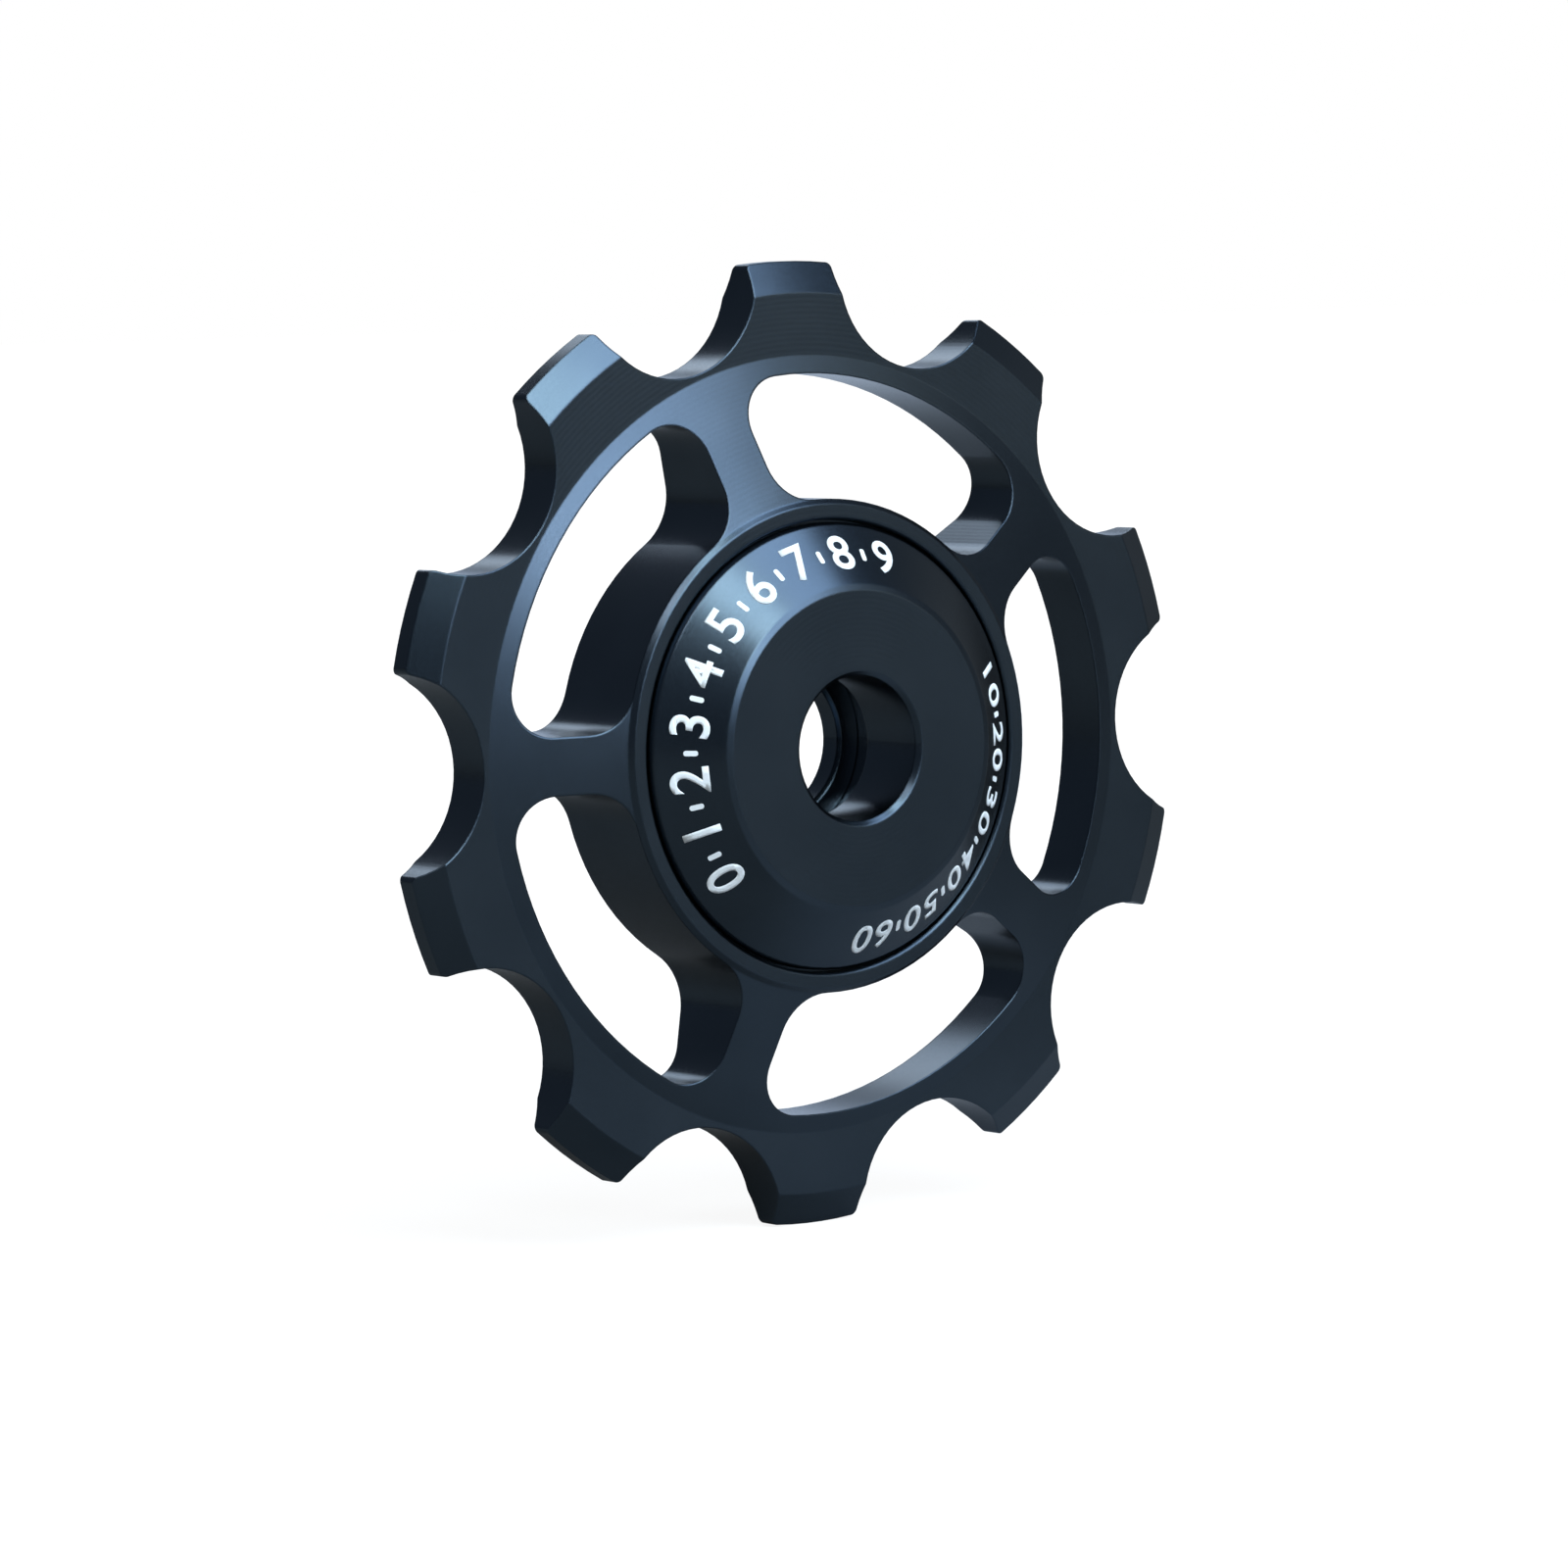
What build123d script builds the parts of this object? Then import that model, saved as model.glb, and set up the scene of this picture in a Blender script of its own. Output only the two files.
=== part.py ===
from build123d import *

import math
import os

# A derailleur jockey wheel in millimetres. The axle lies along Y, the front cap faces -Y, a tooth
# stands at +Z and the origin is the middle of the bearing. Profiles are drawn as (radius, height),
# where height is the distance from the wheel's middle plane.

# Axle hole and caps
AXLE_HOLE = 6.0
SPIGOT_WALL = 0.99
SPIGOT_FIT = 0.01
SPIGOT_LENGTH = 1.1
OVERALL_WIDTH = 9.0
CAP_DIAMETER = 18.5
CAP_FLAT_DIAMETER = 13.3
CAP_RIM_HEIGHT = 0.4
CAP_BOSS_WIDTH = 0.85
CAP_RUNNING_GAP = 0.2
CAP_EDGE_BREAK = 0.15
MOUTH_CHAMFER = 0.2
REAR_COUNTERSINK = 2.5
SPIGOT_CHAMFER = 0.15

# Ball bearing
BEARING_WIDTH = 4.0
BALL_COUNT = 11
BALL_DIAMETER = 1.588
TRACK_WALL = 0.69
TRACK_DEPTH = 0.31
TRACK_CLEARANCE = 0.016
TRACK_CONFORMITY = 0.53
RING_CHAMFER = 0.15
SEAL_INSET = 0.1
SEAL_THICKNESS = 0.3
SEAL_GROOVE = 0.15
SEAL_SEAT = 0.2
SEAL_LIP_GAP = 0.1
SEAL_LIP_LENGTH = 0.35
SEAL_LIP_THICKNESS = 0.15
CAGE_CLEARANCE = 0.2
CAGE_END_GAP = 0.2
POCKET_CLEARANCE = 0.05
PRONG_REACH = 0.35
PRONG_SHARE = 0.5

# Toothed wheel
TOOTH_COUNT = 10
CHAIN_PITCH = 12.7
ROLLER_SEAT_RADIUS = 4.19
TIP_BELOW_PITCH = 0.55
TIP_CORNER_RADIUS = 0.25
TIP_BEVEL_LENGTH = 1.3
TIP_BEVEL_DEPTH = 0.66
BAND_THICKNESS = 2.2
BAND_BELOW_SEAT = 0.25
RIM_WALL = 1.0
SPOKE_WIDTH = 2.37
WINDOW_INNER_RADIUS = 2.1
WINDOW_OUTER_RADIUS = 1.75
WINDOW_CORNER_SHARE = 0.4
HUB_LIP = 0.84
HUB_EDGE_BREAK = 0.2
RECESS_DEPTH = 0.7
RECESS_EDGE_BREAK = 0.1
RECESS_GAP = 0.12
BEARING_PROUD = 0.1
SEAT_FIT = 0.01

# Radii of the caps and the bearing, from the axle hole outwards
axle_r = AXLE_HOLE / 2
spigot_r = axle_r + SPIGOT_WALL
bearing_bore_r = spigot_r + SPIGOT_FIT
ball_r = BALL_DIAMETER / 2
inner_track_r = bearing_bore_r + TRACK_WALL
ball_pitch_r = inner_track_r + TRACK_CLEARANCE + ball_r
outer_track_r = ball_pitch_r + ball_r + TRACK_CLEARANCE
bearing_outer_r = outer_track_r + TRACK_WALL
inner_shoulder_r = inner_track_r + TRACK_DEPTH
outer_shoulder_r = outer_track_r - TRACK_DEPTH
track_profile_r = TRACK_CONFORMITY * BALL_DIAMETER
seal_mouth_r = outer_shoulder_r + SEAL_SEAT
seal_groove_r = seal_mouth_r + SEAL_GROOVE
cap_r = CAP_DIAMETER / 2
cap_flat_r = CAP_FLAT_DIAMETER / 2
cap_boss_r = bearing_bore_r + CAP_BOSS_WIDTH

# Heights of the bearing, the hub and the caps above the middle plane
bearing_face = BEARING_WIDTH / 2
seal_top = bearing_face - SEAL_INSET
seal_bottom = seal_top - SEAL_THICKNESS
cage_end = seal_bottom - CAGE_END_GAP
recess_floor = bearing_face - BEARING_PROUD
hub_face = recess_floor + RECESS_DEPTH
cap_underside = bearing_face + CAP_RUNNING_GAP
cap_rim_top = cap_underside + CAP_RIM_HEIGHT
cap_face = OVERALL_WIDTH / 2
spigot_end = bearing_face - SPIGOT_LENGTH

# Radii of the wheel
pitch_r = CHAIN_PITCH / (2 * math.sin(math.pi / TOOTH_COUNT))
tip_r = pitch_r - TIP_BELOW_PITCH
root_r = pitch_r - ROLLER_SEAT_RADIUS
crease_r = root_r - BAND_BELOW_SEAT
window_r = root_r - RIM_WALL
wheel_seat_r = bearing_outer_r + SEAT_FIT
recess_r = cap_r + RECESS_GAP
hub_r = recess_r + HUB_LIP
band_face = BAND_THICKNESS / 2

# Spokes stand under every second roller seat
tooth_angle = 360 / TOOTH_COUNT
first_seat_angle = 90 + tooth_angle / 2
spoke_count = TOOTH_COUNT // 2


def closed_face(points):
    """A face bounded by straight lines through the points."""
    return make_face(Polyline(*points, close=True))


def vertex_near(shape, point):
    """The shape's vertex that lies nearest to a point of the profile."""
    return shape.vertices().sort_by_distance((point[0], point[1], 0))[0]


def turned(profile):
    """A profile of (radius, height) turned once round the axle."""
    return revolve(profile, Axis.Y, 360)


def mirrored_profile(upper):
    """A profile that is the same on both sides of the middle plane, from its upper points."""
    return closed_face(upper + [(radius, -height) for radius, height in reversed(upper)])


def on_ball_circle(steps):
    """A place on the ball circle, in ball steps clockwise from the top as seen from the front."""
    return Rot(0, 360 * steps / BALL_COUNT, 0) * Pos(0, 0, ball_pitch_r)


def make_toothed_wheel():
    """The machined wheel: toothed band, coned web with windows, and hub with its two recesses."""
    section = mirrored_profile([
        (wheel_seat_r, recess_floor),
        (recess_r, recess_floor),
        (recess_r, hub_face - RECESS_EDGE_BREAK),
        (recess_r + RECESS_EDGE_BREAK, hub_face),
        (hub_r - HUB_EDGE_BREAK, hub_face),
        (hub_r, hub_face - HUB_EDGE_BREAK),
        (crease_r, band_face),
        (tip_r - TIP_BEVEL_LENGTH, band_face),
        (tip_r, band_face - TIP_BEVEL_DEPTH),
    ])
    outline = Plane.XZ * tooth_outline()
    windows = Plane.XZ * window_outlines()
    wheel = turned(section) & extrude(outline, hub_face, both=True)
    return wheel - extrude(windows, hub_face, both=True)


def tooth_outline():
    """The wheel's outline: a disc with a round roller seat between each two teeth."""
    seats = PolarLocations(pitch_r, TOOTH_COUNT, start_angle=first_seat_angle)
    disc = Circle(tip_r) - seats * Circle(ROLLER_SEAT_RADIUS)
    return fillet(disc.vertices(), TIP_CORNER_RADIUS)


def window_outlines():
    """The openings between hub, rim and straight spokes, with rounder corners at the hub than at the rim."""
    web = window_r - hub_r
    largest_corner = WINDOW_CORNER_SHARE * web
    spokes = PolarLocations(hub_r + web / 2, spoke_count, start_angle=first_seat_angle)
    openings = Circle(window_r) - Circle(hub_r) - spokes * Rectangle(2 * web, SPOKE_WIDTH)
    hub_corners = openings.vertices().group_by(SortBy.DISTANCE)[0]
    openings = fillet(hub_corners, min(WINDOW_INNER_RADIUS, largest_corner))
    rim_corners = openings.vertices().group_by(SortBy.DISTANCE)[-1]
    return fillet(rim_corners, min(WINDOW_OUTER_RADIUS, largest_corner))


def make_cap(lead_in):
    """A cap on the front side: a coned cover on the bearing's inner ring, with a short spigot in its bore.

    The axle hole opens outwards over the lead-in's depth."""
    mouth = [(axle_r + lead_in, cap_face), (axle_r, cap_face - lead_in)]
    spigot = [
        (axle_r, spigot_end + SPIGOT_CHAMFER),
        (axle_r + SPIGOT_CHAMFER, spigot_end),
        (spigot_r, spigot_end),
        (spigot_r, bearing_face),
    ]
    cover = [
        (cap_boss_r, bearing_face),
        (cap_boss_r, cap_underside),
        (cap_r, cap_underside),
        (cap_r, cap_rim_top),
        (cap_flat_r, cap_face),
    ]
    profile = closed_face([(r, -height) for r, height in mouth + spigot + cover])
    edges = [vertex_near(profile, (r, -height)) for r, height in cover[-2:]]
    return turned(chamfer(edges, CAP_EDGE_BREAK))


def make_inner_ring():
    """The bearing's inner ring, with the ball track round its outside."""
    blank = mirrored_profile([
        (bearing_bore_r, bearing_face - RING_CHAMFER),
        (bearing_bore_r + RING_CHAMFER, bearing_face),
        (inner_shoulder_r, bearing_face),
    ])
    return turned(blank - Pos(inner_track_r + track_profile_r, 0) * Circle(track_profile_r))


def make_outer_ring():
    """The bearing's outer ring, with the ball track and the two grooves that hold the seals."""
    blank = mirrored_profile([
        (outer_shoulder_r, seal_bottom),
        (seal_groove_r, seal_bottom),
        (seal_groove_r, seal_top),
        (seal_mouth_r, seal_top),
        (seal_mouth_r, bearing_face),
        (bearing_outer_r - RING_CHAMFER, bearing_face),
        (bearing_outer_r, bearing_face - RING_CHAMFER),
    ])
    return turned(blank - Pos(outer_track_r - track_profile_r, 0) * Circle(track_profile_r))


def make_seal():
    """The front seal: a rubber ring with a thin lip that stops short of the inner ring."""
    lip_r = inner_shoulder_r + SEAL_LIP_GAP
    return turned(closed_face([
        (seal_groove_r, -seal_bottom),
        (seal_groove_r, -seal_top),
        (lip_r + SEAL_LIP_LENGTH, -seal_top),
        (lip_r, -seal_bottom - SEAL_LIP_THICKNESS),
        (lip_r, -seal_bottom),
    ]))


def make_cage():
    """The crown cage: a ring on the front side with pairs of prongs that clip over each ball."""
    inner_r = inner_shoulder_r + CAGE_CLEARANCE
    outer_r = outer_shoulder_r - CAGE_CLEARANCE
    pocket_r = ball_r + POCKET_CLEARANCE
    ring = turned(closed_face([
        (inner_r, -cage_end),
        (outer_r, -cage_end),
        (outer_r, PRONG_REACH),
        (inner_r, PRONG_REACH),
    ]))
    between_pockets = 2 * (ball_pitch_r * math.sin(math.pi / BALL_COUNT) - pocket_r)
    through = 2 * (outer_r - inner_r)
    pocket = Cylinder(pocket_r, through)
    relief = Box(PRONG_SHARE * between_pockets, ball_r + PRONG_REACH, through)
    relief_y = (PRONG_REACH - ball_r) / 2
    pockets = [on_ball_circle(index) * pocket for index in range(BALL_COUNT)]
    reliefs = [on_ball_circle(index + 0.5) * Pos(0, relief_y, 0) * relief for index in range(BALL_COUNT)]
    return ring - pockets - reliefs


def make_parts():
    """Every piece by its name."""
    front_seal = make_seal()
    parts = {
        "toothed_wheel": make_toothed_wheel(),
        "bearing_outer_ring": make_outer_ring(),
        "bearing_inner_ring": make_inner_ring(),
        "ball_cage": make_cage(),
        "front_seal": front_seal,
        "rear_seal": mirror(front_seal, Plane.XZ),
        "front_cap": make_cap(MOUTH_CHAMFER),
        "rear_cap": mirror(make_cap(REAR_COUNTERSINK), Plane.XZ),
    }
    for index in range(BALL_COUNT):
        parts[f"ball_{index + 1:02d}"] = on_ball_circle(index) * Sphere(ball_r)
    return parts


os.makedirs("parts", exist_ok=True)
for name, part in make_parts().items():
    export_step(part, f"parts/{name}.step")
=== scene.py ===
"""Finishes a derailleur jockey wheel, prints a scale on its front cap and sets it in a white studio."""

import math
from collections import namedtuple

import bpy
from bpy.props import FloatProperty, FloatVectorProperty, PointerProperty
from mathutils import Matrix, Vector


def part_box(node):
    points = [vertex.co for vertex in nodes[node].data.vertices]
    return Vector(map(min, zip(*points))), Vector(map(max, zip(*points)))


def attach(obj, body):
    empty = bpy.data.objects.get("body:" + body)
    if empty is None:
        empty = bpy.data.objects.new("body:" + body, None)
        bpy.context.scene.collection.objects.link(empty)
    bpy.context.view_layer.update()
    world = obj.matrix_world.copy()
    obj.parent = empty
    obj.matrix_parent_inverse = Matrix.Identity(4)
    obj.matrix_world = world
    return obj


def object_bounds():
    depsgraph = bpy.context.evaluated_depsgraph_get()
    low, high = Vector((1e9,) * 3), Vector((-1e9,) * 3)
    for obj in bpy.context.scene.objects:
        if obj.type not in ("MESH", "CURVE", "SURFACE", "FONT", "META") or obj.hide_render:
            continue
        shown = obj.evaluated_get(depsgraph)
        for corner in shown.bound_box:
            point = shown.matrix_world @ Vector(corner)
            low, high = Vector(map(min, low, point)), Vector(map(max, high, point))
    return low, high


bl_info = {
    "name": "Derailleur Jockey Wheel",
    "version": (1, 0, 0),
    "blender": (4, 5, 0),
    "location": "3D View > Sidebar > Jockey Wheel",
    "description": "Finishes the solids of a derailleur jockey wheel and sets them in a white studio",
    "category": "Object",
}

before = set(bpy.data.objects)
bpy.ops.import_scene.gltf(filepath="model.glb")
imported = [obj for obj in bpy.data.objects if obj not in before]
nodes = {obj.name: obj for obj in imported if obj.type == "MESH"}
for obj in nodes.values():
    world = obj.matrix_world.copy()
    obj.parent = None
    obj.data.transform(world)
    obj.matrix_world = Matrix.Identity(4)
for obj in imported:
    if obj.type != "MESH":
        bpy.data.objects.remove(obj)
cad_low, cad_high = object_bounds()

MM = 0.001
BALL_NAMES = sorted(name for name in nodes if name.startswith("ball_") and name != "ball_cage")

# Anodised alloy: size of the dye's clouds, the bands of noise that its tones and its gloss follow, how far
# its gloss varies, and how strongly turning and blasting show in its surface
DYE_CLOUD = 5 * MM
DYE_BAND = (0.35, 0.65)
GRAIN_BAND = (0.3, 0.7)
ROUGHNESS_SPREAD = 0.02
TURNED_RELIEF = 0.05
BLASTED_RELIEF = 0.02
RELIEF_DEPTH = 0.01 * MM
# Ground steel: spacing and depth of the lines, how strongly they show, and the roughness between them
GRINDING_PITCH = 0.1 * MM
GRINDING_DEPTH = 0.005 * MM
GRINDING_RELIEF = 0.05
STEEL_ROUGHNESS = (0.16, 0.28)
# Moulded and sintered materials: the darker tone of the mottle, and how it shows in gloss and surface
MOTTLE_TONE = 0.92
MOTTLE_GLOSS = 0.2
MOTTLE_RELIEF = 0.2
# One ring of the wave texture at a scale of 1, in its own coordinate
WAVE_LENGTH = 2 * math.pi / 20

# Height of a digit as a share of the built-in font's size, and how far its outline is swelled
DIGIT_HEIGHT = 0.73
DIGIT_WEIGHT = 0.016
# Room for a digit along the line, as a share of its height
DIGIT_ADVANCE = 0.75
# Rounding of a tick's corners, as a share of its width
TICK_ROUNDING = 0.45
# How far the print lies off the cap's facets, so that none of them cuts through it
PRINT_LIFT = 0.004 * MM
# How near to an edge of the cap a vertex counts as on it
TOUCH = 0.001 * MM

# Soft boxes: each faces the wheel from an azimuth and an elevation in degrees, is moved across and up
# from there in metres, leans by some degrees, and has a width, a height, a radiance and a colour
SoftBox = namedtuple("SoftBox", "name azimuth elevation across up lean width height radiance colour")
SOFT_BOXES = (
    # On the cap's cone, on the bevel of the upper left tooth and in the mouth of the axle hole
    SoftBox("key_soft_box", 9.5, 33.5, -0.117, 0.17, -4.5, 0.185, 0.66, 8.3, "#E2F7FF"),
    # On the coned web and the upper spoke
    SoftBox("side_soft_box", 9.5, 33.5, 0.12, 0.1, 11, 0.3, 0.82, 4.9, "#CBE2FF"),
    # On the left end of the web's lit stretch
    SoftBox("low_soft_box", 13, 12, 0, 0, 0, 0.075, 0.075, 4.0, "#F4F8FF"),
    # On the broken edges that face left
    SoftBox("edge_soft_box", -46, 51, 0, 0, 0, 0.17, 0.2, 5.5, "#F0F6FF"),
    # On the rear side
    SoftBox("back_soft_box", 145, 40, 0, 0, 0, 0.4, 0.3, 2.2, "#E2F0FF"),
)
LAMP_DISTANCE = 0.6
# Walls of the room that the lamps spill on: their direction from the wheel in degrees, the cosines between
# which their light comes up, and how bright they are in the wheel's gloss
Wall = namedtuple("Wall", "azimuth elevation edge middle light")
WALLS = (
    Wall(34, 13, 0.935, 0.99, 0.54),
    Wall(100, 0, 0.6, 1.0, 0.1),
)
# The cosines between which the backdrop behind the wheel comes up
BACKDROP_EDGE = 0.92
BACKDROP_MIDDLE = 1.0
# The painted pool of light on the floor, a glow that only the wheel's gloss sees: its direction, where along
# it the glow comes up, and the share of its radius that glows in full
POOL_AZIMUTH = math.radians(75)
POOL_EDGE = -3 * MM
POOL_MIDDLE = 8 * MM
POOL_CORE = 0.4
# The share of the shadow's radius in which the floor takes the shadow in full
SHADOW_CORE = 0.3
# How bright white paper is under the lamps alone
LAMP_LEVEL = 0.8


def linear(code):
    """The linear colour of an sRGB hex code."""
    channels = [int(code[start:start + 2], 16) / 255 for start in (1, 3, 5)]
    return tuple(c / 12.92 if c <= 0.04045 else ((c + 0.055) / 1.055) ** 2.4 for c in channels)


def colour_property(name, description, code):
    """A colour that a user may change, from its sRGB hex code."""
    return FloatVectorProperty(
        name=name, description=description, default=linear(code), subtype="COLOR", size=3, min=0, max=1
    )


def size_property(name, description, millimetres):
    """A length that a user may change."""
    return FloatProperty(
        name=name, description=description, default=millimetres * MM, min=0, unit="LENGTH", precision=5
    )


def angle_property(name, description, degrees):
    """An angle that a user may change."""
    return FloatProperty(name=name, description=description, default=math.radians(degrees), unit="ROTATION")


def number_property(name, description, default):
    """A plain number that a user may change."""
    return FloatProperty(name=name, description=description, default=default)


class JockeyFinish(bpy.types.PropertyGroup):
    """Colours and textures of the surfaces."""

    alloy_light: colour_property("Alloy, light", "Anodised alloy where the dye took least", "#48525B")
    alloy_dark: colour_property("Alloy, dark", "Anodised alloy where the dye took most", "#434D56")
    alloy_roughness: number_property("Alloy roughness", "Roughness of the satin anodised skin", 0.25)
    edge_radius: size_property("Edge radius", "Rounding that tumbling leaves on the machined edges", 0.12)
    # Both patterns are about twice as coarse as the real ones, so that they show
    turning_pitch: size_property("Turning pitch", "Spacing of the rings that the lathe tool leaves", 0.22)
    blast_grain: size_property("Blast grain", "Size of the blasted pits under the anodising", 0.09)
    steel: colour_property("Bearing steel", "Ground bearing steel", "#C9CACC")
    ceramic: colour_property("Silicon nitride", "Polished ceramic balls", "#2B2C2F")
    nylon: colour_property("Nylon", "Moulded natural nylon", "#D8CCAE")
    rubber: colour_property("Nitrile", "Moulded seal rubber", "#1B1B1D")
    ink: colour_property("Print", "White pad-printed ink", "#F2F5F7")


class JockeyDial(bpy.types.PropertyGroup):
    """The scale printed on the front cap's cone."""

    unit_height: size_property("Unit height", "Height of the numerals of the units", 1.66)
    ten_height: size_property("Ten height", "Height of the numerals of the tens", 1.46)
    tick_length: size_property("Tick length", "Length of a tick", 0.6)
    tick_width: size_property("Tick width", "Width of a tick", 0.22)
    ink_thickness: size_property("Ink thickness", "How thick the print lies on the cap", 0.012)
    middle: number_property("Middle", "Where the print lies, as a share of the cone from flat to rim", 0.5)
    first_unit: angle_property("First unit", "Where the units start, clockwise from the top", -128)
    last_unit: angle_property("Last unit", "Where the units end, clockwise from the top", 16)
    first_ten: angle_property("First ten", "Where the tens start, clockwise from the top", 74)
    last_ten: angle_property("Last ten", "Where the tens end, clockwise from the top", 172)


class JockeyStage(bpy.types.PropertyGroup):
    """The camera and the white surroundings."""

    azimuth: angle_property("Azimuth", "The camera's angle round the wheel", -36.83)
    elevation: angle_property("Elevation", "The camera's angle above the axle", 4.24)
    roll: angle_property("Roll", "The camera's turn about its line of sight", -1.56)
    distance: size_property("Distance", "From the wheel's middle to the camera", 283.3)
    lens: FloatProperty(name="Lens", description="Focal length", default=156.6, unit="CAMERA")
    shift_x: number_property("Shift X", "Sideways shift of the frame", -0.00685)
    shift_y: number_property("Shift Y", "Upward shift of the frame", -0.02573)
    floor_radius: size_property("Floor radius", "Radius of the white floor", 3000)
    shadow_radius: size_property("Shadow radius", "How far from the wheel the floor takes its shadow", 160)
    room: number_property("Room", "Brightness of the dim room in the wheel's gloss", 0.15)
    wall_tint: colour_property("Wall tint", "Colour of the lit walls", "#FFFAE4")
    room_tint: colour_property("Room tint", "Colour of the room's daylight", "#CFE3FF")
    fill: number_property("Fill", "Brightness of the lit walls on matt surfaces", 0.3)
    backdrop: number_property("Backdrop", "Brightness of the white backdrop in the wheel's gloss", 0.85)
    # Painted reflection: the pool is a glow painted on the floor for glossy rays only, not lamplight
    pool: number_property("Pool", "Brightness of the lit floor before the wheel in the wheel's gloss", 0.18)
    pool_radius: size_property("Pool radius", "How far from the wheel the lit floor reaches", 80)
    paper: number_property("Paper", "How much of the lamps' light the floor throws back", 0.15)


def add_node(tree, kind, inputs=None, **settings):
    """A new node with its settings, and with its sockets set to values or linked to other sockets."""
    node = tree.nodes.new(kind)
    for name, value in settings.items():
        setattr(node, name, value)
    for socket, value in (inputs or {}).items():
        if isinstance(value, bpy.types.NodeSocket):
            tree.links.new(value, node.inputs[socket])
        else:
            node.inputs[socket].default_value = value
    return node


def new_material(name):
    """A material with an empty tree, and its tree."""
    material = bpy.data.materials.new(name)
    material.use_nodes = True
    material.node_tree.nodes.clear()
    return material, material.node_tree


def anodised_alloy(finish):
    """Black anodised aluminium: turned, milled and blasted, so it has a satin blue-black skin."""
    material, tree = new_material("black_anodised_alloy")
    place = add_node(tree, "ShaderNodeTexCoord").outputs["Object"]
    rings = add_node(
        tree, "ShaderNodeTexWave",
        {"Vector": place, "Scale": WAVE_LENGTH / finish.turning_pitch, "Distortion": 0.6, "Detail": 2.0},
        wave_type="RINGS", rings_direction="Y",
    )
    grain = add_node(
        tree, "ShaderNodeTexNoise", {"Vector": place, "Scale": 1 / finish.blast_grain, "Detail": 1.0}
    )
    cloud = add_node(tree, "ShaderNodeTexNoise", {"Vector": place, "Scale": 1 / DYE_CLOUD, "Detail": 2.0})
    tone = add_node(tree, "ShaderNodeValToRGB", {"Fac": cloud.outputs["Fac"]})
    for stop, position, colour in zip(
        tone.color_ramp.elements, DYE_BAND, (finish.alloy_dark, finish.alloy_light)
    ):
        stop.position = position
        stop.color = (*colour, 1)
    roughness = add_node(
        tree, "ShaderNodeMapRange",
        {"Value": grain.outputs["Fac"], "From Min": GRAIN_BAND[0], "From Max": GRAIN_BAND[1],
         "To Min": finish.alloy_roughness - ROUGHNESS_SPREAD,
         "To Max": finish.alloy_roughness + ROUGHNESS_SPREAD},
    )
    edge = add_node(tree, "ShaderNodeBevel", {"Radius": finish.edge_radius}, samples=6)
    turned = add_node(
        tree, "ShaderNodeBump",
        {"Strength": TURNED_RELIEF, "Distance": RELIEF_DEPTH, "Height": rings.outputs["Fac"],
         "Normal": edge.outputs["Normal"]},
    )
    blasted = add_node(
        tree, "ShaderNodeBump",
        {"Strength": BLASTED_RELIEF, "Distance": RELIEF_DEPTH, "Height": grain.outputs["Fac"],
         "Normal": turned.outputs["Normal"]},
    )
    skin = add_node(
        tree, "ShaderNodeBsdfPrincipled",
        {"Base Color": tone.outputs["Color"], "Metallic": 1.0, "Roughness": roughness.outputs["Result"],
         "Normal": blasted.outputs["Normal"]},
    )
    add_node(tree, "ShaderNodeOutputMaterial", {"Surface": skin.outputs["BSDF"]})
    return material


def bearing_steel(finish):
    """Chrome bearing steel, ground: bright, with fine lines round the axle."""
    material, tree = new_material("ground_bearing_steel")
    place = add_node(tree, "ShaderNodeTexCoord").outputs["Object"]
    lines = add_node(
        tree, "ShaderNodeTexWave",
        {"Vector": place, "Scale": WAVE_LENGTH / GRINDING_PITCH, "Distortion": 3.0, "Detail": 4.0},
        wave_type="RINGS", rings_direction="Y",
    )
    roughness = add_node(
        tree, "ShaderNodeMapRange",
        {"Value": lines.outputs["Fac"], "To Min": STEEL_ROUGHNESS[0], "To Max": STEEL_ROUGHNESS[1]},
    )
    ground = add_node(
        tree, "ShaderNodeBump",
        {"Strength": GRINDING_RELIEF, "Distance": GRINDING_DEPTH, "Height": lines.outputs["Fac"]},
    )
    skin = add_node(
        tree, "ShaderNodeBsdfPrincipled",
        {"Base Color": (*finish.steel, 1), "Metallic": 1.0, "Roughness": roughness.outputs["Result"],
         "Normal": ground.outputs["Normal"]},
    )
    add_node(tree, "ShaderNodeOutputMaterial", {"Surface": skin.outputs["BSDF"]})
    return material


def mottled(name, colour, grain, roughness, depth, ior):
    """A moulded or sintered material: one colour with a fine mottle in its gloss and its surface."""
    material, tree = new_material(name)
    place = add_node(tree, "ShaderNodeTexCoord").outputs["Object"]
    mottle = add_node(tree, "ShaderNodeTexNoise", {"Vector": place, "Scale": 1 / grain, "Detail": 4.0})
    tone = add_node(tree, "ShaderNodeValToRGB", {"Fac": mottle.outputs["Fac"]})
    tone.color_ramp.elements[0].color = (*(MOTTLE_TONE * channel for channel in colour), 1)
    tone.color_ramp.elements[1].color = (*colour, 1)
    gloss = add_node(
        tree, "ShaderNodeMapRange",
        {"Value": mottle.outputs["Fac"],
         "To Min": (1 - MOTTLE_GLOSS) * roughness, "To Max": (1 + MOTTLE_GLOSS) * roughness},
    )
    relief = add_node(
        tree, "ShaderNodeBump",
        {"Strength": MOTTLE_RELIEF, "Distance": depth, "Height": mottle.outputs["Fac"]},
    )
    skin = add_node(
        tree, "ShaderNodeBsdfPrincipled",
        {"Base Color": tone.outputs["Color"], "Roughness": gloss.outputs["Result"], "IOR": ior,
         "Normal": relief.outputs["Normal"]},
    )
    add_node(tree, "ShaderNodeOutputMaterial", {"Surface": skin.outputs["BSDF"]})
    return material


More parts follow.
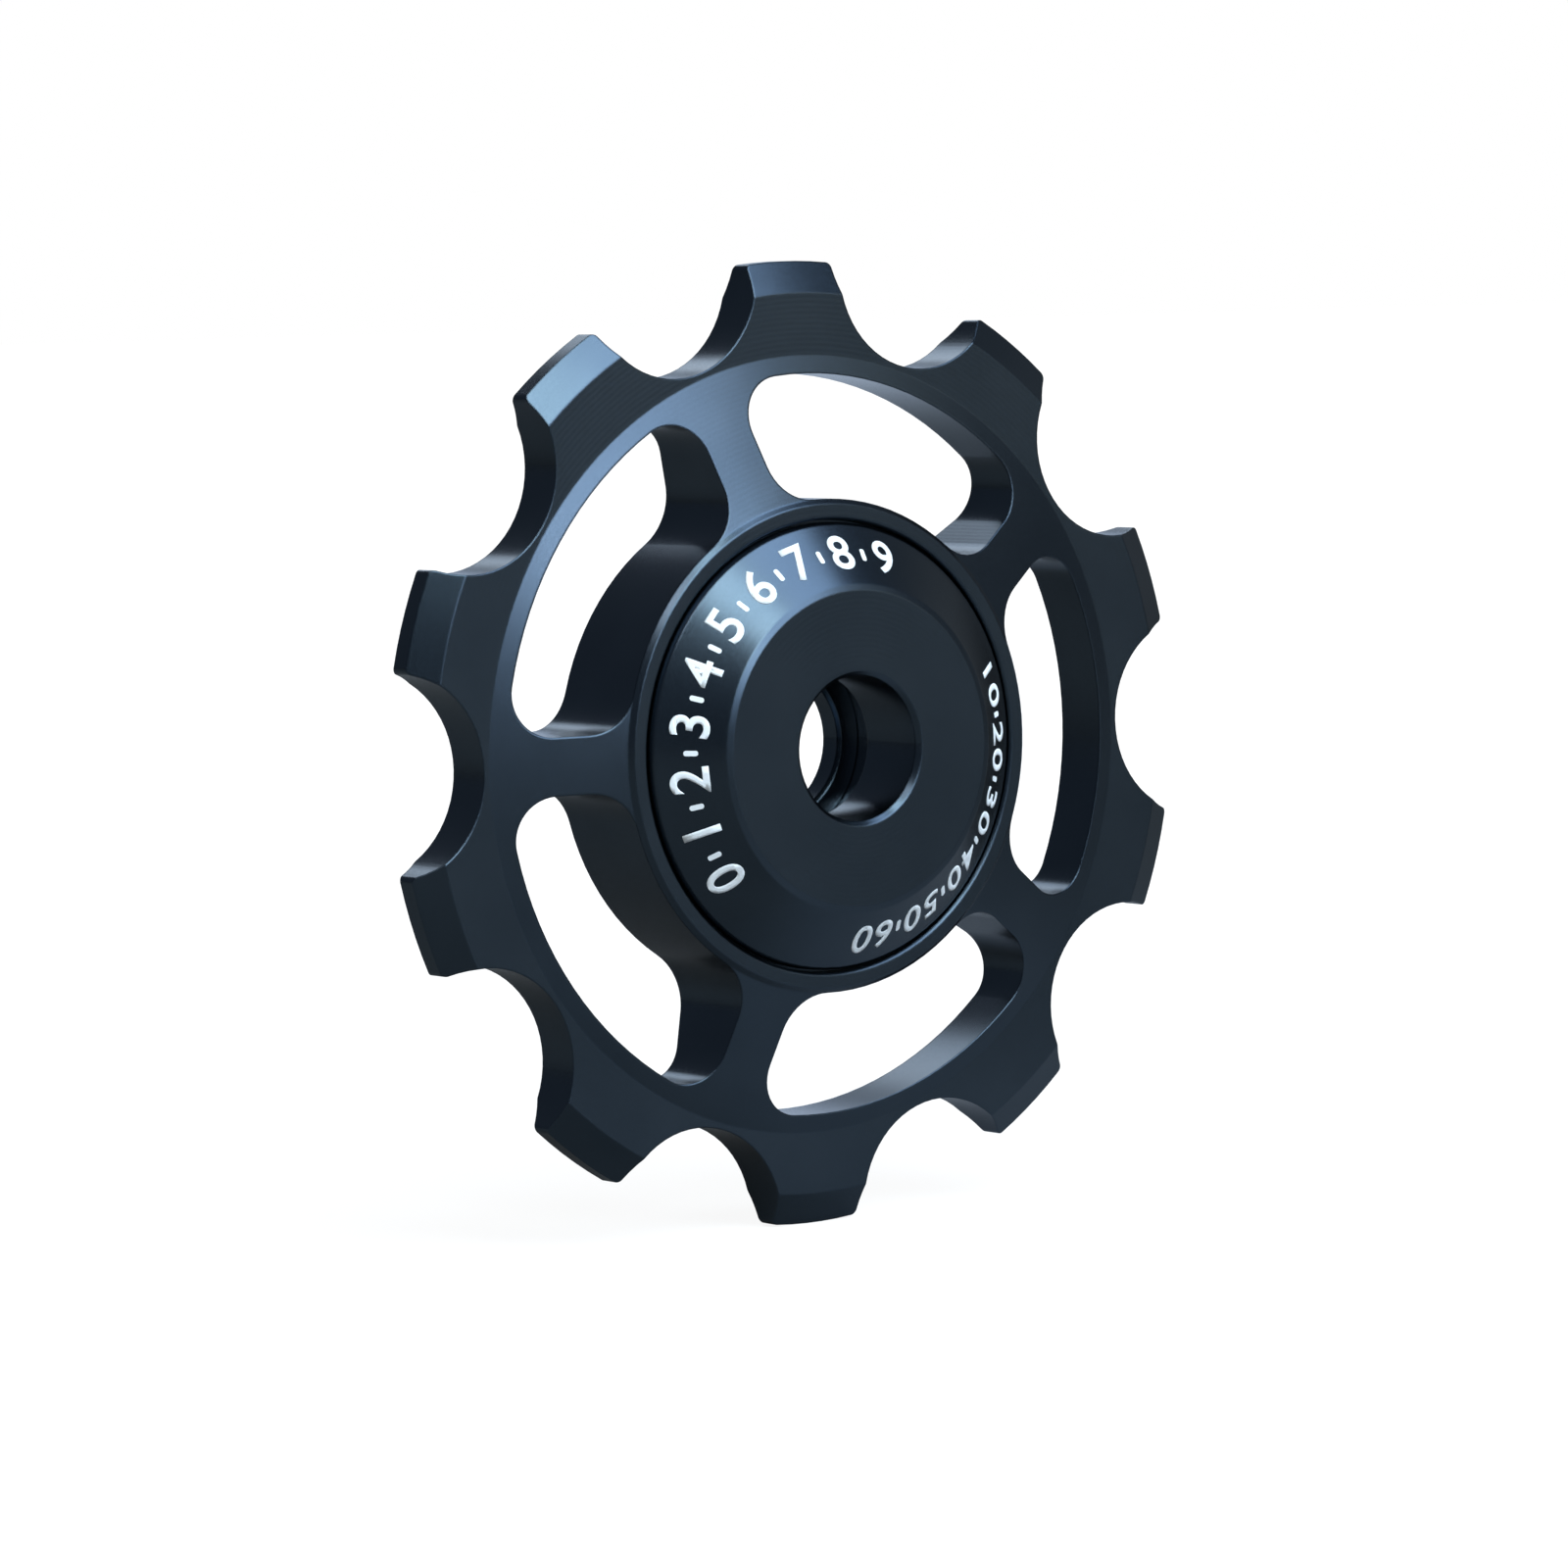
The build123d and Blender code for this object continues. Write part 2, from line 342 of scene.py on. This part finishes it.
def looking_in(azimuth, elevation, roll, distance):
    """A place round the wheel that looks at its middle. Azimuth 0 faces the front cap."""
    turn = Matrix.Rotation(azimuth, 4, "Z") @ Matrix.Rotation(math.pi / 2 - elevation, 4, "X")
    return turn @ Matrix.Rotation(roll, 4, "Z") @ Matrix.Translation((0, 0, distance))


def light_from(tree, direction, azimuth, elevation, edge, middle, strength):
    """Light that comes from one side: none up to the edge and full past the middle, both along that side."""
    side = looking_in(azimuth, elevation, 0, 1).translation
    facing = add_node(tree, "ShaderNodeVectorMath", {0: direction, 1: side}, operation="DOT_PRODUCT")
    light = add_node(
        tree, "ShaderNodeMapRange",
        {"Value": facing.outputs["Value"], "From Min": edge, "From Max": middle, "To Max": strength},
        interpolation_type="SMOOTHSTEP",
    )
    return light.outputs["Result"]


def backdrop_light(tree, direction, stage):
    """Light of the white backdrop, which stands behind the wheel as the camera sees it."""
    behind = stage.azimuth + math.pi
    return light_from(tree, direction, behind, 0, BACKDROP_EDGE, BACKDROP_MIDDLE, stage.backdrop)


def white_paper(stage):
    """White studio paper: matt and white, with the wheel's shadow.

    In the wheel's gloss it is dark, but for a painted pool of light on the right, which glows though no lamp
    lights it, and the backdrop's light."""
    material, tree = new_material("white_paper")
    path = add_node(tree, "ShaderNodeLightPath")
    place = add_node(tree, "ShaderNodeTexCoord").outputs["Object"]
    reach = add_node(tree, "ShaderNodeVectorMath", {0: place}, operation="LENGTH")
    far = add_node(
        tree, "ShaderNodeMapRange",
        {"Value": reach.outputs["Value"],
         "From Min": SHADOW_CORE * stage.shadow_radius, "From Max": stage.shadow_radius},
        interpolation_type="SMOOTHSTEP",
    )
    whiteness = add_node(
        tree, "ShaderNodeMapRange",
        {"Value": far.outputs["Result"], "To Min": 1 - LAMP_LEVEL * stage.paper, "To Max": 1.0},
    )
    seen = add_node(
        tree, "ShaderNodeMath",
        {0: path.outputs["Is Camera Ray"], 1: whiteness.outputs["Result"]}, operation="MULTIPLY",
    )
    from_wheel = add_node(tree, "ShaderNodeVectorMath", {0: place, 1: (0, 0, cad_low.z)}, operation="ADD")
    direction = add_node(
        tree, "ShaderNodeVectorMath", {0: from_wheel.outputs["Vector"]}, operation="NORMALIZE"
    )
    # Painted reflection: a pool of light on the floor right of the wheel, given off only to glossy rays
    pool = light_from(tree, place, POOL_AZIMUTH, 0, POOL_EDGE, POOL_MIDDLE, stage.pool)
    near = add_node(
        tree, "ShaderNodeMapRange",
        {"Value": reach.outputs["Value"],
         "From Min": POOL_CORE * stage.pool_radius, "From Max": stage.pool_radius,
         "To Min": pool, "To Max": 0.0},
    )
    backdrop = backdrop_light(tree, direction.outputs["Vector"], stage)
    glow = add_node(tree, "ShaderNodeMath", {0: near.outputs["Result"], 1: backdrop}, operation="ADD")
    gloss = add_node(
        tree, "ShaderNodeMath",
        {0: path.outputs["Is Glossy Ray"], 1: path.outputs["Is Transmission Ray"]}, operation="MAXIMUM",
    )
    # The floor glows for glossy rays only: the painted pool of light plus the backdrop's light
    mirrored = add_node(
        tree, "ShaderNodeMath", {0: gloss.outputs["Value"], 1: glow.outputs["Value"]}, operation="MULTIPLY"
    )
    white = add_node(tree, "ShaderNodeEmission", {"Strength": seen.outputs["Value"]})
    tinted = add_node(
        tree, "ShaderNodeEmission", {"Color": (*stage.room_tint, 1), "Strength": mirrored.outputs["Value"]}
    )
    light = add_node(
        tree, "ShaderNodeAddShader", {0: white.outputs["Emission"], 1: tinted.outputs["Emission"]}
    )
    paper = add_node(tree, "ShaderNodeBsdfDiffuse", {"Color": (stage.paper, stage.paper, stage.paper, 1)})
    both = add_node(tree, "ShaderNodeAddShader", {0: light.outputs["Shader"], 1: paper.outputs["BSDF"]})
    add_node(tree, "ShaderNodeOutputMaterial", {"Surface": both.outputs["Shader"]})
    return material


def dress(piece, material):
    """The piece with one material all over."""
    piece.data.materials.clear()
    piece.data.materials.append(material)


class JOCKEY_OT_alloy(bpy.types.Operator):
    """Finish the machined wheel and its two caps"""

    bl_idname = "jockey.alloy"
    bl_label = "Wheel and Caps"

    def execute(self, context):
        material = anodised_alloy(context.scene.jockey_finish)
        for name in ("toothed_wheel", "front_cap", "rear_cap"):
            dress(nodes[name], material)
        return {"FINISHED"}


class JOCKEY_OT_bearing(bpy.types.Operator):
    """Finish the ball bearing's rings, balls, cage and seals"""

    bl_idname = "jockey.bearing"
    bl_label = "Ball Bearing"

    def execute(self, context):
        finish = context.scene.jockey_finish
        steel = bearing_steel(finish)
        for name in ("bearing_inner_ring", "bearing_outer_ring"):
            dress(nodes[name], steel)
        # Polished silicon nitride: near black, with a sharp gloss
        ceramic = mottled(
            "silicon_nitride", finish.ceramic, grain=0.15 * MM, roughness=0.1, depth=0.001 * MM, ior=2.0
        )
        for name in BALL_NAMES:
            dress(nodes[name], ceramic)
        # Moulded natural nylon: cream, with a waxy sheen
        nylon = mottled(
            "natural_nylon", finish.nylon, grain=0.2 * MM, roughness=0.45, depth=0.01 * MM, ior=1.53
        )
        dress(nodes["ball_cage"], nylon)
        # Moulded nitrile rubber: black and nearly matt
        rubber = mottled(
            "nitrile_rubber", finish.rubber, grain=0.12 * MM, roughness=0.6, depth=0.01 * MM, ior=1.52
        )
        for name in ("front_seal", "rear_seal"):
            dress(nodes[name], rubber)
        return {"FINISHED"}


def place_on_cone(angle, share):
    """A place on the front cap's cone: X runs clockwise, Y up the cone to its rim and Z out of it.

    The angle is clockwise from the top as seen from the front, and the share runs from flat to rim."""
    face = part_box("front_cap")[0].y
    rim_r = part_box("front_cap")[1].x
    points = [(math.hypot(v.co.x, v.co.z), v.co.y) for v in nodes["front_cap"].data.vertices]
    flat_r = max(r for r, y in points if y < face + TOUCH)
    rim = min(y for r, y in points if r > rim_r - TOUCH)
    slope = math.atan2(rim - face, rim_r - flat_r)
    middle = Matrix.Translation((0, face + share * (rim - face), flat_r + share * (rim_r - flat_r)))
    return Matrix.Rotation(angle, 4, "Y") @ middle @ Matrix.Rotation(math.pi / 2 - slope, 4, "X")


def add_number(digits, height, angle, share):
    """A number on the cone, as one flat mesh for each digit, with its middle at the angle."""
    place = place_on_cone(angle, share)
    advance = DIGIT_ADVANCE * height / math.hypot(place.translation.x, place.translation.z)
    numerals = []
    for index, digit in enumerate(digits):
        bpy.ops.object.text_add()
        text = bpy.context.object
        text.data.body = digit
        text.data.align_x = "CENTER"
        text.data.align_y = "CENTER"
        text.data.size = height / DIGIT_HEIGHT
        text.data.offset = DIGIT_WEIGHT * text.data.size
        text.data.resolution_u = 6
        bpy.ops.object.convert(target="MESH")
        numeral = bpy.context.object
        numeral.matrix_world = place_on_cone(angle + (index - (len(digits) - 1) / 2) * advance, share)
        numerals.append(numeral)
    return numerals


def add_tick(width, length):
    """A tick as a flat mesh with rounded ends, about its own middle."""
    bpy.ops.mesh.primitive_plane_add(size=1)
    tick = bpy.context.object
    tick.scale = (width, length, 1)
    bpy.ops.object.transform_apply(location=False, rotation=False, scale=True)
    bpy.ops.object.mode_set(mode="EDIT")
    bpy.ops.mesh.select_all(action="SELECT")
    bpy.ops.mesh.bevel(offset=TICK_ROUNDING * width, segments=3, affect="VERTICES")
    bpy.ops.object.mode_set(mode="OBJECT")
    return tick


def print_on_cap(name, marks, thickness):
    """One print made of the marks, laid on the front cap."""
    bpy.ops.object.select_all(action="DESELECT")
    for mark in marks:
        mark.select_set(True)
    bpy.context.view_layer.objects.active = marks[0]
    bpy.ops.object.join()
    bpy.ops.object.transform_apply(location=True, rotation=True, scale=True)
    whole = bpy.context.object
    whole.name = name
    bpy.ops.object.mode_set(mode="EDIT")
    bpy.ops.mesh.select_all(action="SELECT")
    bpy.ops.mesh.subdivide(number_cuts=2)
    bpy.ops.object.mode_set(mode="OBJECT")
    wrap = whole.modifiers.new("wrap", "SHRINKWRAP")
    wrap.target = nodes["front_cap"]
    wrap.wrap_mode = "ABOVE_SURFACE"
    wrap.offset = PRINT_LIFT
    bpy.ops.object.modifier_apply(modifier=wrap.name)
    body = whole.modifiers.new("body", "SOLIDIFY")
    body.thickness = thickness
    body.offset = 1
    bpy.ops.object.modifier_apply(modifier=body.name)
    return whole


class JOCKEY_OT_dial(bpy.types.Operator):
    """Print a plain numbered scale on the front cap"""

    bl_idname = "jockey.dial"
    bl_label = "Dial Print"

    def execute(self, context):
        dial = context.scene.jockey_dial
        scales = (
            (range(10), dial.unit_height, dial.first_unit, dial.last_unit),
            (range(10, 70, 10), dial.ten_height, dial.first_ten, dial.last_ten),
        )
        numerals, ticks = [], []
        for values, height, first, last in scales:
            step = (last - first) / (len(values) - 1)
            for index, value in enumerate(values):
                numerals += add_number(str(value), height, first + index * step, dial.middle)
                if index > 0:
                    tick = add_tick(dial.tick_width, dial.tick_length)
                    tick.matrix_world = place_on_cone(first + (index - 0.5) * step, dial.middle)
                    ticks.append(tick)
        # Pad-printed ink: white and matt, with the pad's faint grain
        finish = context.scene.jockey_finish
        ink = mottled("white_ink", finish.ink, grain=0.1 * MM, roughness=0.7, depth=0.002 * MM, ior=1.5)
        for name, marks in (("cap_numerals", numerals), ("cap_ticks", ticks)):
            printed = print_on_cap(name, marks, dial.ink_thickness)
            dress(printed, ink)
            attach(printed, "hub_core")
        return {"FINISHED"}


class JOCKEY_OT_stage(bpy.types.Operator):
    """Set the camera, the soft boxes and the white surroundings"""

    bl_idname = "jockey.stage"
    bl_label = "Studio"

    def execute(self, context):
        stage = context.scene.jockey_stage
        context.scene.view_settings.view_transform = "Standard"
        add_camera(context.scene, stage)
        for box in SOFT_BOXES:
            add_soft_box(box)
        bpy.ops.mesh.primitive_circle_add(
            vertices=96, radius=stage.floor_radius, fill_type="NGON", location=(0, 0, cad_low.z)
        )
        floor = context.object
        floor.name = "studio_floor"
        dress(floor, white_paper(stage))
        context.scene.world = white_surroundings(stage)
        return {"FINISHED"}


def add_camera(scene, stage):
    """The camera at its place, as the scene's own."""
    bpy.ops.object.camera_add()
    camera = bpy.context.object
    camera.matrix_world = looking_in(stage.azimuth, stage.elevation, stage.roll, stage.distance)
    camera.data.lens = stage.lens
    camera.data.shift_x = stage.shift_x
    camera.data.shift_y = stage.shift_y
    camera.data.clip_start = 10 * MM
    scene.camera = camera


def add_soft_box(box):
    """A soft box as an area light that faces the wheel."""
    bpy.ops.object.light_add(type="AREA")
    light = bpy.context.object
    light.name = box.name
    bank = looking_in(math.radians(box.azimuth), math.radians(box.elevation), 0, LAMP_DISTANCE)
    place = Matrix.Translation((box.across, box.up, 0)) @ Matrix.Rotation(math.radians(-box.lean), 4, "Z")
    light.matrix_world = bank @ place
    light.data.shape = "RECTANGLE"
    light.data.size = box.width
    light.data.size_y = box.height
    light.data.color = linear(box.colour)
    light.data.energy = box.radiance * math.pi * box.width * box.height
    light.visible_camera = False


def white_surroundings(stage):
    """A world that is white to the camera.

    In the wheel's gloss it is a dim room with lit walls and a white backdrop."""
    world = bpy.data.worlds.new("white_studio")
    world.use_nodes = True
    tree = world.node_tree
    tree.nodes.clear()
    path = add_node(tree, "ShaderNodeLightPath")
    direction = add_node(tree, "ShaderNodeTexCoord").outputs["Generated"]
    backdrop = backdrop_light(tree, direction, stage)
    room = add_node(tree, "ShaderNodeMath", {0: backdrop, 1: stage.room}, operation="ADD")
    daylight = add_node(
        tree, "ShaderNodeBackground", {"Color": (*stage.room_tint, 1), "Strength": room.outputs["Value"]}
    )
    spill = add_node(
        tree, "ShaderNodeMath", {0: path.outputs["Is Diffuse Ray"], 1: stage.fill}, operation="MULTIPLY"
    )
    for wall in WALLS:
        azimuth = math.radians(wall.azimuth)
        elevation = math.radians(wall.elevation)
        lit = light_from(tree, direction, azimuth, elevation, wall.edge, wall.middle, wall.light)
        spill = add_node(tree, "ShaderNodeMath", {0: spill.outputs["Value"], 1: lit}, operation="ADD")
    lamplight = add_node(
        tree, "ShaderNodeBackground", {"Color": (*stage.wall_tint, 1), "Strength": spill.outputs["Value"]}
    )
    light = add_node(
        tree, "ShaderNodeAddShader", {0: daylight.outputs["Background"], 1: lamplight.outputs["Background"]}
    )
    seen = add_node(tree, "ShaderNodeBackground", {"Color": (1, 1, 1, 1), "Strength": 1.0})
    both = add_node(
        tree, "ShaderNodeMixShader",
        {0: path.outputs["Is Camera Ray"], 1: light.outputs["Shader"], 2: seen.outputs["Background"]},
    )
    add_node(tree, "ShaderNodeOutputWorld", {"Surface": both.outputs["Shader"]})
    return world


class JOCKEY_PT_panel(bpy.types.Panel):
    """The steps of the jockey wheel in the sidebar"""

    bl_idname = "JOCKEY_PT_panel"
    bl_label = "Jockey Wheel"
    bl_space_type = "VIEW_3D"
    bl_region_type = "UI"
    bl_category = "Jockey Wheel"

    def draw(self, context):
        for step in STEPS:
            self.layout.operator(step.bl_idname)
        for name, group in SETTINGS.items():
            for setting in group.__annotations__:
                self.layout.prop(getattr(context.scene, name), setting)


STEPS = (JOCKEY_OT_alloy, JOCKEY_OT_bearing, JOCKEY_OT_dial, JOCKEY_OT_stage)
SETTINGS = {"jockey_finish": JockeyFinish, "jockey_dial": JockeyDial, "jockey_stage": JockeyStage}
CLASSES = (*SETTINGS.values(), *STEPS, JOCKEY_PT_panel)


def register():
    """Makes the classes known to Blender and gives the scene their settings."""
    for each in CLASSES:
        bpy.utils.register_class(each)
    for name, group in SETTINGS.items():
        setattr(bpy.types.Scene, name, PointerProperty(type=group))


def unregister():
    """Takes back what register did."""
    for name in SETTINGS:
        delattr(bpy.types.Scene, name)
    for each in reversed(CLASSES):
        bpy.utils.unregister_class(each)


def main():
    """Dresses the wheel step by step."""
    register()
    bpy.ops.object.select_all(action="DESELECT")
    bpy.ops.jockey.alloy()
    bpy.ops.jockey.bearing()
    bpy.ops.jockey.dial()
    bpy.ops.jockey.stage()


if __name__ == "__main__":
    main()
